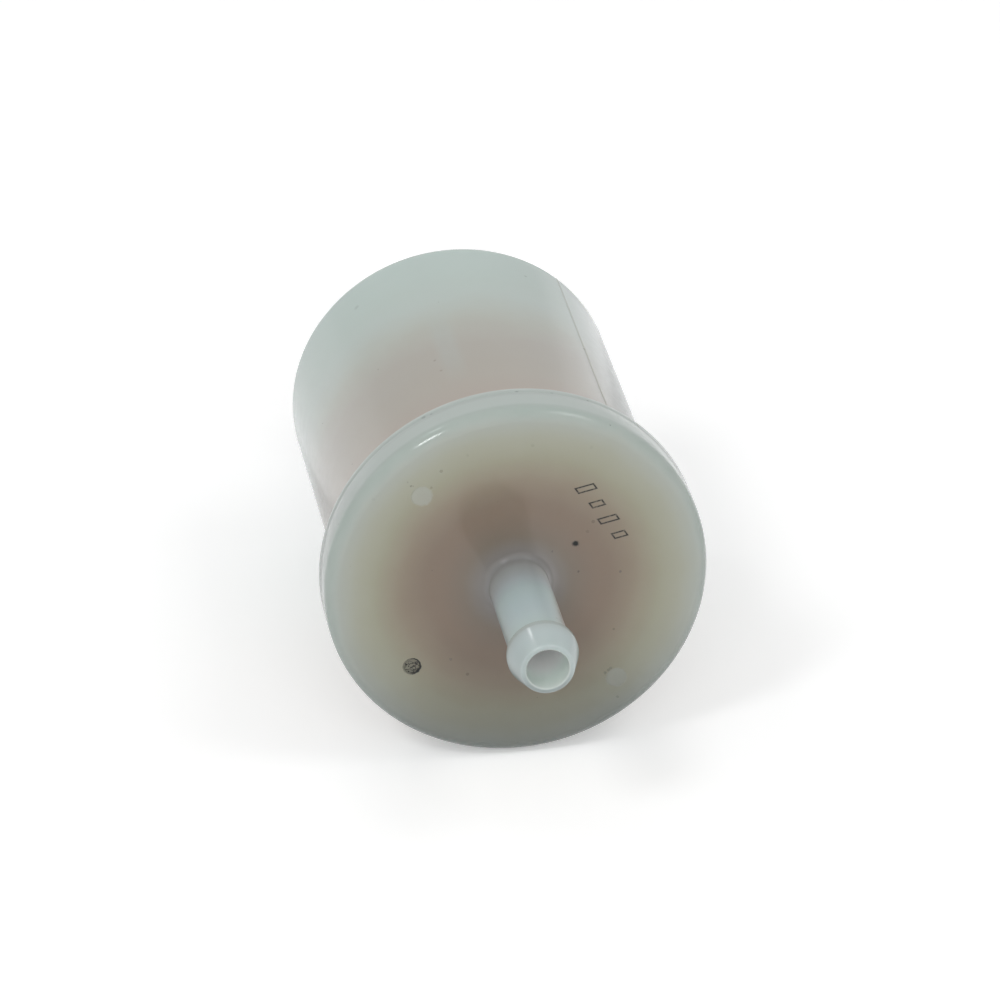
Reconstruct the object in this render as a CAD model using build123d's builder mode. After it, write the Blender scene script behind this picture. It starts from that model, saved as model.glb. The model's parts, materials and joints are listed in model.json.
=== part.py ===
from build123d import *

import os
from math import asin, cos, degrees, radians, sin

# An inline fuel filter, lying along Y. The outlet and its cover face -Y, the inlet faces +Y.
# The origin is on the axis, halfway along the plain stretch of the body that a bracket holds.
# All sizes are in millimetres, and every station below is a place along Y.

# Housing, outside
body_diameter = 44.4
body_length = 50.7
far_edge_radius = 1.9
flange_diameter = 51.0
flange_ring_thickness = 1.1
skirt_depth = 5.4
face_edge_radius = 1.8
seam_edge_break = 0.15

# Housing, walls
body_wall = 2.0
floor_thickness = 2.2
floor_corner_radius = 1.5
cover_plate = 2.6

# Weld joint between the cup and the cover
tongue_wall = 1.8
tongue_height = 2.4
weld_clearance = 0.15
locating_wall = 1.6
locating_reach = 4.6
locating_clearance = 0.2
lead_in = 0.4

# Hose spigots, alike at both ends
stem_diameter = 8.0
spigot_length = 23.3
barb_diameter = 9.4
barb_length = 4.7
barb_land = 0.9
tip_diameter = 7.0
tip_edge_radius = 0.4
spigot_bore = 5.6
stem_fillet = 0.9

# Round mould marks in the cover's face: distance from the axis and angle from +X
ejector_mark_diameter = 2.9
gate_mark_diameter = 2.2
mark_depth = 0.25
ejector_mark_places = ((19.0, 132.0), (20.2, 311.0))
gate_mark_place = (18.0, 218.0)

# Socket in the cover for the neck of the filter element
socket_diameter = 13.2
socket_wall = 1.6
socket_depth = 5.2

# Filter element
paper_height = 31.0
paper_thickness = 0.5
pleat_count = 30
outer_fold_radius = 0.45
inner_fold_radius = 0.30
pleat_clearance = 0.6
seam_angle = -90.0
adhesive_thickness = 0.8
adhesive_clearance = 0.2

# Support core inside the pleats
core_diameter = 14.8
core_wall = 1.1
core_rows = 4
core_columns = 6
core_bar = 1.6
core_end_band = 2.3
window_width = 4.6
locator_clearance = 0.2
locator_wall = 0.9
locator_height = 1.5

# End caps of the element
cap_clearance = 2.0
cap_thickness = 1.2
lip_wall = 0.8
lip_height = 2.2
neck_clearance = 0.3
neck_bore = 7.2
neck_length = 4.6

# Sealing ring on the neck
ring_section = 1.7
ring_clearance = 0.05
groove_width = 2.2

# Ribs on the cup's inner wall, which guide and carry the filter element
rib_count = 4
rib_angle = 103.0
rib_width = 1.6
rib_reach = 20.0
rib_clearance = 0.3
ledge_width = 3.0

# Radii worked out from the sizes above
body_radius = body_diameter / 2
inner_radius = body_radius - body_wall
flange_radius = flange_diameter / 2
tongue_radius = inner_radius + tongue_wall
groove_outer_radius = tongue_radius + weld_clearance
stem_radius = stem_diameter / 2
barb_radius = barb_diameter / 2
tip_radius = tip_diameter / 2
bore_radius = spigot_bore / 2
locating_radius = inner_radius - locating_clearance
socket_radius = socket_diameter / 2
cap_radius = inner_radius - cap_clearance
lip_radius = cap_radius - lip_wall
neck_radius = socket_radius - neck_clearance
neck_bore_radius = neck_bore / 2
seal_radius = socket_radius - ring_clearance
ring_groove_radius = seal_radius - ring_section - ring_clearance
core_radius = core_diameter / 2
core_bore_radius = core_radius - core_wall
locator_radius = core_bore_radius - locator_clearance
pleat_reach = lip_radius - pleat_clearance
pleat_root = core_radius + pleat_clearance
rib_root = inner_radius + body_wall / 2
guide_radius = cap_radius + rib_clearance
ledge_radius = cap_radius - ledge_width

# Stations of the housing, from the outlet towards the inlet
seat_length = body_length - far_edge_radius
shoulder = -seat_length / 2
seam = shoulder - flange_ring_thickness
tongue_end = seam - tongue_height
face = seam - skirt_depth
plate_back = face + cover_plate
locating_end = plate_back + locating_reach
outlet_tip = face - spigot_length
far_end = shoulder + body_length
cup_floor = far_end - floor_thickness
rib_end = far_end - floor_thickness / 2
inlet_tip = far_end + spigot_length

# Stations of the filter element
socket_end = plate_back + socket_depth
neck_end = socket_end - neck_length
ring_groove_start = socket_end - (neck_length + groove_width) / 2
ring_groove_end = ring_groove_start + groove_width
upper_disc = socket_end + cap_thickness
paper_start = upper_disc + adhesive_thickness
paper_end = paper_start + paper_height
lower_disc = paper_end + adhesive_thickness
element_end = lower_disc + cap_thickness
rib_start = paper_end - rib_reach

pleat_pitch = 360 / pleat_count
towards_inlet = (0, 1, 0)


def across(station):
    """Plane across the axis, seen from the outlet: its x is X and its y is Z."""
    return Plane.XZ.offset(-station)


def polar(radius, angle):
    """Point at a distance from the axis and an angle in degrees."""
    return Vector(radius * cos(radians(angle)), radius * sin(radians(angle)))


def corner(section, radius, station):
    """The corner of a half section that lies at the given radius and station."""
    return section.vertices().sort_by_distance((radius, station, 0))[0]


def spigot_outline(root, outward):
    """Outside of a hose spigot from its root to its tip, as (radius, station)."""
    tip = root + outward * spigot_length
    barb_back = tip - outward * barb_length
    return (
        (stem_radius, root),
        (stem_radius, barb_back),
        (barb_radius, barb_back),
        (barb_radius, barb_back + outward * barb_land),
        (tip_radius, tip),
        (bore_radius, tip),
    )


def dish_outline(outer_side, inward):
    """Inside of an end cap from its rim to its locating ring, as (radius, station)."""
    floor = outer_side + inward * cap_thickness
    lip_top = floor + inward * lip_height
    locator_top = floor + inward * locator_height
    return (
        (cap_radius, lip_top),
        (lip_radius, lip_top),
        (lip_radius, floor),
        (locator_radius, floor),
        (locator_radius, locator_top),
        (locator_radius - locator_wall, locator_top),
        (locator_radius - locator_wall, floor),
    )


def crest_centre(angle):
    """Centre of the fold at the outside of a pleat."""
    return polar(pleat_reach - paper_thickness / 2 - outer_fold_radius, angle)


def root_centre(angle):
    """Centre of the fold at the inside of a pleat."""
    return polar(pleat_root + paper_thickness / 2 + inner_fold_radius, angle)


def flank(crest_angle, root_angle, offset):
    """Straight run of paper between two folds, as its ends at the crest and at the root.

    It is tangent to both folds and lies at the given offset from the middle of the paper.
    """
    crest, root = crest_centre(crest_angle), root_centre(root_angle)
    crest_fold = outer_fold_radius + offset
    root_fold = inner_fold_radius - offset
    inwards = root - crest
    lean = degrees(asin((crest_fold + root_fold) / inwards.length))
    side = 1 if crest_angle > root_angle else -1
    square = inwards.normalized().rotate(Axis.Z, side * (90 - lean))
    return crest + square * crest_fold, root - square * root_fold


def pleated_side(offset):
    """Draw one side of the pleated paper and return its two ends, which meet at the seam."""
    last_crest = seam_angle + 360
    for pleat in range(pleat_count):
        crest = seam_angle + pleat * pleat_pitch
        root = crest + pleat_pitch / 2
        next_crest = crest + pleat_pitch
        inward_run = flank(crest, root, offset)
        outward_run = flank(next_crest, root, offset)
        root_bottom = root_centre(root) - polar(inner_fold_radius - offset, root)
        Line(*inward_run)
        ThreePointArc(inward_run[1], root_bottom, outward_run[1])
        Line(*outward_run)
        if pleat < pleat_count - 1:
            crest_top = crest_centre(next_crest) + polar(outer_fold_radius + offset, next_crest)
            next_run = flank(next_crest, next_crest + pleat_pitch / 2, offset)
            ThreePointArc(outward_run[0], crest_top, next_run[0])
    first_end = flank(seam_angle, seam_angle + pleat_pitch / 2, offset)[0]
    last_end = flank(last_crest, last_crest - pleat_pitch / 2, offset)[0]
    return first_end, last_end


# Cup: body, thin flange ring with its weld tongue, inlet spigot, and ribs for the element
with BuildPart() as cup:
    with BuildSketch() as cup_section:
        with BuildLine():
            Polyline(
                (bore_radius, cup_floor),
                (inner_radius, cup_floor),
                (inner_radius, tongue_end),
                (tongue_radius, tongue_end),
                (tongue_radius, seam),
                (flange_radius, seam),
                (flange_radius, shoulder),
                (body_radius, shoulder),
                (body_radius, far_end),
                *spigot_outline(far_end, 1),
                close=True,
            )
        make_face()
        fillet(corner(cup_section, inner_radius, cup_floor), floor_corner_radius)
        fillet(corner(cup_section, body_radius, far_end), far_edge_radius)
        fillet(corner(cup_section, stem_radius, far_end), stem_fillet)
        fillet(corner(cup_section, tip_radius, inlet_tip), tip_edge_radius)
        chamfer(corner(cup_section, flange_radius, seam), seam_edge_break)
        chamfer(corner(cup_section, flange_radius, shoulder), seam_edge_break)
    revolve(axis=Axis.Y)
    with BuildSketch(across(rib_start)):
        with PolarLocations((guide_radius + rib_root) / 2, rib_count, start_angle=rib_angle):
            Rectangle(rib_root - guide_radius, rib_width)
    extrude(amount=rib_end - rib_start, dir=towards_inlet)
    with BuildSketch(across(element_end)):
        with PolarLocations((ledge_radius + rib_root) / 2, rib_count, start_angle=rib_angle):
            Rectangle(rib_root - ledge_radius, rib_width)
    extrude(amount=rib_end - element_end, dir=towards_inlet)
cup.part.label = "cup"

# Cover: plate, skirt, outlet spigot, ring that centres it in the cup, and socket for the element
with BuildPart() as cover:
    with BuildSketch() as cover_section:
        with BuildLine():
            Polyline(
                (bore_radius, plate_back),
                (socket_radius, plate_back),
                (socket_radius, socket_end),
                (socket_radius + socket_wall, socket_end),
                (socket_radius + socket_wall, plate_back),
                (locating_radius - locating_wall, plate_back),
                (locating_radius - locating_wall, locating_end),
                (locating_radius, locating_end),
                (locating_radius, plate_back),
                (groove_outer_radius, plate_back),
                (groove_outer_radius, seam),
                (flange_radius, seam),
                (flange_radius, face),
                *spigot_outline(face, -1),
                close=True,
            )
        make_face()
        fillet(corner(cover_section, flange_radius, face), face_edge_radius)
        fillet(corner(cover_section, stem_radius, face), stem_fillet)
        fillet(corner(cover_section, tip_radius, outlet_tip), tip_edge_radius)
        chamfer(corner(cover_section, socket_radius, socket_end), lead_in)
        chamfer(corner(cover_section, locating_radius, locating_end), lead_in)
        chamfer(corner(cover_section, flange_radius, seam), seam_edge_break)
    revolve(axis=Axis.Y)
    with BuildSketch(across(face)):
        for distance, angle in ejector_mark_places:
            with Locations(polar(distance, angle)):
                Circle(ejector_mark_diameter / 2)
        with Locations(polar(*gate_mark_place)):
            Circle(gate_mark_diameter / 2)
    extrude(amount=mark_depth, dir=towards_inlet, mode=Mode.SUBTRACT)
cover.part.label = "cover"

# Pleated paper, folded from one strip whose two ends meet at the seam
with BuildPart() as filter_paper:
    with BuildSketch(across(paper_start)):
        with BuildLine():
            inner_ends = pleated_side(-paper_thickness / 2)
            outer_ends = pleated_side(paper_thickness / 2)
            Line(inner_ends[0], outer_ends[0])
            Line(inner_ends[1], outer_ends[1])
        make_face()
    extrude(amount=paper_height, dir=towards_inlet)
filter_paper.part.label = "filter_paper"

# Adhesive between the two ends of the paper
with BuildPart() as pleat_seam:
    with BuildSketch(across(paper_start)):
        with BuildLine():
            first_flank = flank(seam_angle, seam_angle + pleat_pitch / 2, -paper_thickness / 2)
            last_flank = flank(seam_angle, seam_angle - pleat_pitch / 2, -paper_thickness / 2)
            Polyline(*first_flank, *reversed(last_flank), close=True)
        make_face()
    extrude(amount=paper_height, dir=towards_inlet)
pleat_seam.part.label = "pleat_seam"

# Upper end cap, with the neck that plugs into the cover's socket
with BuildPart() as upper_end_cap:
    with BuildSketch():
        with BuildLine():
            Polyline(
                (neck_bore_radius, neck_end),
                (neck_radius, neck_end),
                (neck_radius, ring_groove_start),
                (ring_groove_radius, ring_groove_start),
                (ring_groove_radius, ring_groove_end),
                (neck_radius, ring_groove_end),
                (neck_radius, socket_end),
                (cap_radius, socket_end),
                *dish_outline(socket_end, 1),
                (neck_bore_radius, upper_disc),
                close=True,
            )
        make_face()
    revolve(axis=Axis.Y)
upper_end_cap.part.label = "upper_end_cap"

# Lower end cap, the same dish turned round and closed
with BuildPart() as lower_end_cap:
    with BuildSketch():
        with BuildLine():
            Polyline(
                (0, element_end),
                (cap_radius, element_end),
                *dish_outline(element_end, -1),
                (0, lower_disc),
                close=True,
            )
        make_face()
    revolve(axis=Axis.Y)
lower_end_cap.part.label = "lower_end_cap"

# Beds of adhesive that hold the paper's edges in the end caps
with BuildPart() as upper_adhesive:
    with BuildSketch(across(upper_disc)):
        Circle(lip_radius - adhesive_clearance)
        Circle(core_radius + adhesive_clearance, mode=Mode.SUBTRACT)
    extrude(amount=adhesive_thickness, dir=towards_inlet)
upper_adhesive.part.label = "upper_adhesive"

with BuildPart() as lower_adhesive:
    with BuildSketch(across(paper_end)):
        Circle(lip_radius - adhesive_clearance)
        Circle(core_radius + adhesive_clearance, mode=Mode.SUBTRACT)
    extrude(amount=adhesive_thickness, dir=towards_inlet)
lower_adhesive.part.label = "lower_adhesive"

# Lattice tube that keeps the pleats from collapsing inwards
with BuildPart() as support_core:
    with BuildSketch(across(upper_disc)):
        Circle(core_radius)
        Circle(core_bore_radius, mode=Mode.SUBTRACT)
    extrude(amount=lower_disc - upper_disc, dir=towards_inlet)
    core_middle = (upper_disc + lower_disc) / 2
    row_pitch = (lower_disc - upper_disc - 2 * core_end_band) / core_rows
    for column in range(core_columns):
        facing = polar(1, 360 * column / core_columns)
        window_plane = Plane(
            origin=(0, core_middle, 0), x_dir=towards_inlet, z_dir=(facing.X, 0, facing.Y)
        )
        with BuildSketch(window_plane):
            with GridLocations(row_pitch, 1, core_rows, 1):
                Rectangle(row_pitch - core_bar, window_width)
        extrude(amount=core_radius, mode=Mode.SUBTRACT)
support_core.part.label = "support_core"

# Sealing ring in the neck's groove
with BuildPart() as neck_seal:
    with BuildSketch():
        ring_middle = (ring_groove_start + ring_groove_end) / 2
        with Locations((seal_radius - ring_section / 2, ring_middle)):
            Circle(ring_section / 2)
    revolve(axis=Axis.Y)
neck_seal.part.label = "neck_seal"

os.makedirs("parts", exist_ok=True)
export_step(cup.part, "parts/cup.step")
export_step(cover.part, "parts/cover.step")
export_step(filter_paper.part, "parts/filter_paper.step")
export_step(pleat_seam.part, "parts/pleat_seam.step")
export_step(upper_end_cap.part, "parts/upper_end_cap.step")
export_step(lower_end_cap.part, "parts/lower_end_cap.step")
export_step(upper_adhesive.part, "parts/upper_adhesive.step")
export_step(lower_adhesive.part, "parts/lower_adhesive.step")
export_step(support_core.part, "parts/support_core.step")
export_step(neck_seal.part, "parts/neck_seal.step")
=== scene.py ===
"""Looks of the inline fuel filter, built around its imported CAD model."""

import json
from math import atan, cos, hypot, pi, radians, sin, tan

import bmesh
import bpy
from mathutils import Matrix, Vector
from mathutils.geometry import delaunay_2d_cdt


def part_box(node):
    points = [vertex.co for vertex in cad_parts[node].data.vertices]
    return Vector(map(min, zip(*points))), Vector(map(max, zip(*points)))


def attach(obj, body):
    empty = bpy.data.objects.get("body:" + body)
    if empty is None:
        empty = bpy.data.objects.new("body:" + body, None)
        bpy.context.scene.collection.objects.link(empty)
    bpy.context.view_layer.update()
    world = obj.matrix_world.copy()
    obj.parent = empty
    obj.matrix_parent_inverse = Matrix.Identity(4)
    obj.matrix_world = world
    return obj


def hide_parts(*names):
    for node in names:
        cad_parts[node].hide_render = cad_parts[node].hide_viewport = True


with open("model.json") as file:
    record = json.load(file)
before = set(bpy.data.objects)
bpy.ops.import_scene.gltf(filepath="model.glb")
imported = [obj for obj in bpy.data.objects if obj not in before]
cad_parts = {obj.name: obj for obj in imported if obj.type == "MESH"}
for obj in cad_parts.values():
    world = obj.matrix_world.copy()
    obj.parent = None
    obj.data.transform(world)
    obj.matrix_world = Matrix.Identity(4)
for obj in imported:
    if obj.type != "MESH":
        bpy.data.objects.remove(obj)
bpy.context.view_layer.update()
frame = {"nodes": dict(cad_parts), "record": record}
NODES = frame["nodes"]
MOUNTS = {mount["name"]: mount for mount in frame["record"]["mounts"]}

# All sizes below are in millimetres, and meshes and lights are made in metres.
MM = 0.001

# Sizes read from the frame. Stations are places along Y, from the outlet to the inlet.
CUP_LOW, CUP_HIGH = (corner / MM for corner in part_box("cup"))
COVER_LOW, COVER_HIGH = (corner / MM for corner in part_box("cover"))
FLANGE_RADIUS = COVER_HIGH.x
BODY_RADIUS = MOUNTS["bracket_seat"]["dims"]["r_mm"]
SEAT_LENGTH = MOUNTS["bracket_seat"]["dims"]["length_mm"]
BARB_RADIUS = MOUNTS["outlet_barb"]["dims"]["r_mm"]
BARB_LAND = MOUNTS["outlet_barb"]["dims"]["length_mm"]
BORE_RADIUS = MOUNTS["outlet_bore"]["dims"]["r_mm"]
OUTLET_BORE_LENGTH = MOUNTS["outlet_bore"]["dims"]["length_mm"]
INLET_BORE_LENGTH = MOUNTS["inlet_bore"]["dims"]["length_mm"]
OUTLET_TIP = COVER_LOW.y
INLET_TIP = CUP_HIGH.y
SHOULDER = MOUNTS["flange_shoulder"]["pos_m"][1] / MM
TONGUE_END = CUP_LOW.y
LOCATING_END = COVER_HIGH.y
PLATE_BACK = OUTLET_TIP + OUTLET_BORE_LENGTH
CUP_FLOOR = INLET_TIP - INLET_BORE_LENGTH

# Sizes of the housing that the frame doesn't state
FLANGE_RING = 1.1
SPIGOT_LENGTH = 23.3
BARB_LENGTH = 4.7
STEM_RADIUS = 4.0
TIP_RADIUS = 3.5
BODY_WALL = 2.0
TONGUE_WALL = 1.8
WELD_GAP = 0.15
LOCATING_WALL = 1.6
LOCATING_GAP = 0.2
SOCKET_RADIUS = 6.6
SOCKET_WALL = 1.6
SOCKET_DEPTH = 5.2
FACE_EDGE = 1.8
FAR_EDGE = 1.9
STEM_FILLET = 0.9
TIP_EDGE = 0.4
MOUTH_EDGE = 0.22
FLOOR_CORNER = 1.5
SEAM_EDGE = 0.006
SHARP_EDGE = 0.08
INNER_EDGE = 0.2

SEAM = SHOULDER - FLANGE_RING
FACE = OUTLET_TIP + SPIGOT_LENGTH
FAR_END = INLET_TIP - SPIGOT_LENGTH
INNER_RADIUS = BODY_RADIUS - BODY_WALL
TONGUE_RADIUS = INNER_RADIUS + TONGUE_WALL
LOCATING_RADIUS = INNER_RADIUS - LOCATING_GAP

# Guide ribs inside the cup
RIB_COUNT = 4
RIB_ANGLE = 103.0
RIB_WIDTH = 1.6
RIB_START = -10.1
RIB_TOP_RADIUS = 18.5
LEDGE_TOP_RADIUS = 15.2
LEDGE_START = 11.9

# Round mould marks in the cover's face: x, z, diameter, depth
EJECTOR_MARKS = ((-12.71, 14.12, 2.9, 0.06), (13.25, -15.25, 2.9, 0.06))
GATE_MARK = (-14.18, -11.08, 2.2, 0.25)
MARKS = (*EJECTOR_MARKS, GATE_MARK)

# Mould parting line along the body, as an angle from the top towards +X
PARTING_ANGLE = 41.6
PARTING_HEIGHT = 0.05
PARTING_WIDTH = 0.16

# Fineness of the meshes: steps round the axis and round a mould mark, and length of a step on
# an arc. Faces that meet at a sharper angle than the last value, in degrees, aren't blended.
ROUND_STEPS = 288
MARK_STEPS = 56
ARC_STEP = 0.12
SHARP_ANGLE = 35


def srgb(red, green, blue):
    """Linear colour from the 0 to 255 values of a display colour."""

    def linear(value):
        value /= 255
        return value / 12.92 if value <= 0.04045 else ((value + 0.055) / 1.055) ** 2.4

    return linear(red), linear(green), linear(blue), 1.0


def rounded(corners, closed):
    """Outline through (radius, station, rounding) corners, with arcs where it turns."""
    points = []
    count = len(corners)
    for index, (radius, station, rounding) in enumerate(corners):
        corner = Vector((radius, station))
        at_end = not closed and index in (0, count - 1)
        if rounding == 0 or at_end:
            points.append(corner)
            continue
        before = Vector(corners[index - 1][:2]) - corner
        after = Vector(corners[(index + 1) % count][:2]) - corner
        half = before.angle(after) / 2
        reach = rounding / tan(half)
        middle = (before.normalized() + after.normalized()).normalized()
        centre = corner + middle * (rounding / sin(half))
        start = corner + before.normalized() * reach - centre
        turn = pi - 2 * half
        side = 1 if before.cross(after) < 0 else -1
        steps = max(3, round(turn * rounding / ARC_STEP))
        for step in range(steps + 1):
            angle = side * turn * step / steps
            points.append(centre + Vector((
                start.x * cos(angle) - start.y * sin(angle),
                start.x * sin(angle) + start.y * cos(angle),
            )))
    return points


def spigot(root, outward):
    """Corners of a hose spigot's outside, from its root to the mouth of its bore."""
    tip = root + outward * SPIGOT_LENGTH
    barb_back = tip - outward * BARB_LENGTH
    return [
        (STEM_RADIUS, root, STEM_FILLET),
        (STEM_RADIUS, barb_back, SHARP_EDGE),
        (BARB_RADIUS, barb_back, SHARP_EDGE),
        (BARB_RADIUS, barb_back + outward * BARB_LAND, INNER_EDGE),
        (TIP_RADIUS, tip, TIP_EDGE),
        (BORE_RADIUS, tip, MOUTH_EDGE),
    ]


def place(radius, station, angle):
    """Point in metres, with the angle in radians measured from the top towards +X."""
    return Vector((radius * sin(angle), station, radius * cos(angle))) * MM


def lathe(mesh, outline, angles, shift=None, closed=True):
    """Turn an outline about the axis and return its rings of vertices."""
    rings = []
    for radius, station in outline:
        ring = []
        for angle in angles:
            extra = shift(radius, station, angle) if shift else 0
            ring.append(mesh.verts.new(place(radius + extra, station, angle)))
        rings.append(ring)
    count = len(angles)
    ring_pairs = list(zip(rings, rings[1:]))
    if closed:
        ring_pairs.append((rings[-1], rings[0]))
    for near, far in ring_pairs:
        for index in range(count):
            following = (index + 1) % count
            mesh.faces.new((near[index], near[following], far[following], far[index]))
    return rings


def finished(mesh, name, replaced, material):
    """Turn a bmesh into a piece that stands for a CAD node."""
    bmesh.ops.recalc_face_normals(mesh, faces=mesh.faces)
    for face in mesh.faces:
        face.smooth = True
    data = bpy.data.meshes.new(name)
    mesh.to_mesh(data)
    mesh.free()
    data.set_sharp_from_angle(angle=radians(SHARP_ANGLE))
    data.materials.append(material)
    piece = bpy.data.objects.new(name, data)
    bpy.context.scene.collection.objects.link(piece)
    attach(piece, "root")
    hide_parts(replaced)
    return piece


def even_angles():
    return [2 * pi * step / ROUND_STEPS for step in range(ROUND_STEPS)]


def parting_angles():
    """Even angles, with more of them where the parting line's ridge stands."""
    spread = [PARTING_WIDTH * share / BODY_RADIUS for share in (-1.4, -0.9, -0.5, 0, 0.5, 0.9, 1.4)]
    angles = set(even_angles())
    for side in (0, pi):
        centre = radians(PARTING_ANGLE) + side
        angles = {angle for angle in angles if abs(angle - centre) > spread[-1] * 1.3}
        angles |= {centre + offset for offset in spread}
    return sorted(angles)


def parting_ridge(radius, station, angle):
    """Height of the parting line's ridge at a place on the outside of the body."""
    if radius < BODY_RADIUS - FAR_EDGE or radius > BODY_RADIUS + 0.01 or station <= SHOULDER + 0.1:
        return 0
    if station < FAR_END - FAR_EDGE - 2 and radius < BODY_RADIUS - 0.01:
        return 0
    height = 0
    for side in (0, pi):
        offset = abs(angle - radians(PARTING_ANGLE) - side) * BODY_RADIUS / PARTING_WIDTH
        height = max(height, 1 - offset * offset)
    return height * PARTING_HEIGHT


def rib(mesh, angle, start, top_radius):
    """Guide rib inside the cup, as a bar from the wall towards the axis."""
    half = RIB_WIDTH / 2
    root_radius = INNER_RADIUS + BODY_WALL / 2
    end = CUP_FLOOR + (FAR_END - CUP_FLOOR) / 2
    across = Vector((cos(angle), 0, -sin(angle)))
    outwards = Vector((sin(angle), 0, cos(angle)))
    corners = []
    for side, radii in ((-half, (root_radius, top_radius)), (half, (top_radius, root_radius))):
        corners += [outwards * radius + across * side for radius in radii]
    near = [mesh.verts.new((corner + Vector((0, start, 0))) * MM) for corner in corners]
    far = [mesh.verts.new((corner + Vector((0, end, 0))) * MM) for corner in corners]
    mesh.faces.new(near)
    mesh.faces.new(far)
    for index in range(4):
        following = (index + 1) % 4
        mesh.faces.new((near[index], near[following], far[following], far[index]))


def build_cup(material):
    """Long half of the housing: body, thin flange ring, tongue, inlet spigot and ribs."""
    corners = [
        (TONGUE_RADIUS, SEAM, 0),
        (FLANGE_RADIUS, SEAM, SEAM_EDGE),
        (FLANGE_RADIUS, SHOULDER, SEAM_EDGE),
        (BODY_RADIUS, SHOULDER, INNER_EDGE),
        (BODY_RADIUS, FAR_END, FAR_EDGE),
        *spigot(FAR_END, 1),
        (BORE_RADIUS, CUP_FLOOR, INNER_EDGE),
        (INNER_RADIUS, CUP_FLOOR, FLOOR_CORNER),
        (INNER_RADIUS, TONGUE_END, SHARP_EDGE),
        (TONGUE_RADIUS, TONGUE_END, SHARP_EDGE),
    ]
    mesh = bmesh.new()
    lathe(mesh, rounded(corners, True), parting_angles(), parting_ridge)
    for index in range(RIB_COUNT):
        angle = radians(90 - RIB_ANGLE - index * 360 / RIB_COUNT)
        rib(mesh, angle, RIB_START, RIB_TOP_RADIUS)
        rib(mesh, angle, LEDGE_START, LEDGE_TOP_RADIUS)
    return finished(mesh, "filter_cup", "cup", material)


def mark_rings(diameter, depth):
    """Rings of one mould mark, as (radius, depth), from the face down to its floor."""
    edge = diameter / 2
    return (
        (edge + 0.16, 0),
        (edge + 0.06, 0),
        (edge, 0.12 * depth),
        (edge - 0.06, 0.5 * depth),
        (edge - 0.12, 0.88 * depth),
        (edge - 0.2, depth),
        (edge - 0.32, depth),
        (edge * 0.5, depth),
    )


def face_patch(mesh, inner_ring, outer_ring):
    """Fill the flat of the cover's face between two rings, with its mould marks."""
    flat, depths, edges, known = [], [], [], []

    def loop(points, depth, vertices=None):
        first = len(flat)
        for index, point in enumerate(points):
            flat.append(Vector(point))
            depths.append(depth)
            known.append(vertices[index] if vertices else None)
            edges.append((first + index, first + (index + 1) % len(points)))

    for ring in (inner_ring, outer_ring):
        loop([(vertex.co.x / MM, vertex.co.z / MM) for vertex in ring], 0, ring)
    for x, z, diameter, deepest in MARKS:
        for radius, depth in mark_rings(diameter, deepest):
            turns = [2 * pi * step / MARK_STEPS for step in range(MARK_STEPS)]
            loop([(x + radius * cos(turn), z + radius * sin(turn)) for turn in turns], depth)
    for radius in (8.0, 12.0, 16.0, 20.0):
        for step in range(ROUND_STEPS // 4):
            turn = 2 * pi * step / (ROUND_STEPS // 4)
            x, z = radius * cos(turn), radius * sin(turn)
            if all(hypot(x - mark[0], z - mark[1]) > mark[2] for mark in MARKS):
                flat.append(Vector((x, z)))
                depths.append(0)
                known.append(None)
    points, _, triangles, origins, _, _ = delaunay_2d_cdt(flat, edges, [], 0, 1e-7)
    inner_radius = hypot(*(value / MM for value in inner_ring[0].co.xz))
    vertices = []
    for point, origin in zip(points, origins):
        source = origin[0]
        vertex = known[source]
        if vertex is None:
            vertex = mesh.verts.new(Vector((point.x, FACE + depths[source], point.y)) * MM)
        vertices.append(vertex)
    for triangle in triangles:
        middle = sum((points[index] for index in triangle), Vector((0, 0))) / len(triangle)
        if middle.length > inner_radius * cos(pi / ROUND_STEPS):
            mesh.faces.new([vertices[index] for index in triangle])


def build_cover(material):
    """Cover: plate, thick flange, outlet spigot, locating ring and the element's socket."""
    outer_flat = FLANGE_RADIUS - FACE_EDGE
    inner_flat = STEM_RADIUS + STEM_FILLET
    stem = spigot(FACE, -1)
    corners = [
        (inner_flat, FACE, 0),
        *stem,
        (BORE_RADIUS, PLATE_BACK, INNER_EDGE),
        (SOCKET_RADIUS, PLATE_BACK, INNER_EDGE),
        (SOCKET_RADIUS, PLATE_BACK + SOCKET_DEPTH, 0.3),
        (SOCKET_RADIUS + SOCKET_WALL, PLATE_BACK + SOCKET_DEPTH, INNER_EDGE),
        (SOCKET_RADIUS + SOCKET_WALL, PLATE_BACK, INNER_EDGE),
        (LOCATING_RADIUS - LOCATING_WALL, PLATE_BACK, INNER_EDGE),
        (LOCATING_RADIUS - LOCATING_WALL, LOCATING_END, INNER_EDGE),
        (LOCATING_RADIUS, LOCATING_END, 0.3),
        (LOCATING_RADIUS, PLATE_BACK, SHARP_EDGE),
        (TONGUE_RADIUS + WELD_GAP, PLATE_BACK, SHARP_EDGE),
        (TONGUE_RADIUS + WELD_GAP, SEAM, SHARP_EDGE),
        (FLANGE_RADIUS, SEAM, SEAM_EDGE),
        (FLANGE_RADIUS, FACE, FACE_EDGE),
        (outer_flat, FACE, 0),
    ]
    outline = rounded(corners, False)
    mesh = bmesh.new()
    rings = lathe(mesh, outline[1:-1], even_angles(), closed=False)
    face_patch(mesh, rings[0], rings[-1])
    return finished(mesh, "filter_cover", "cover", material)


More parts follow.
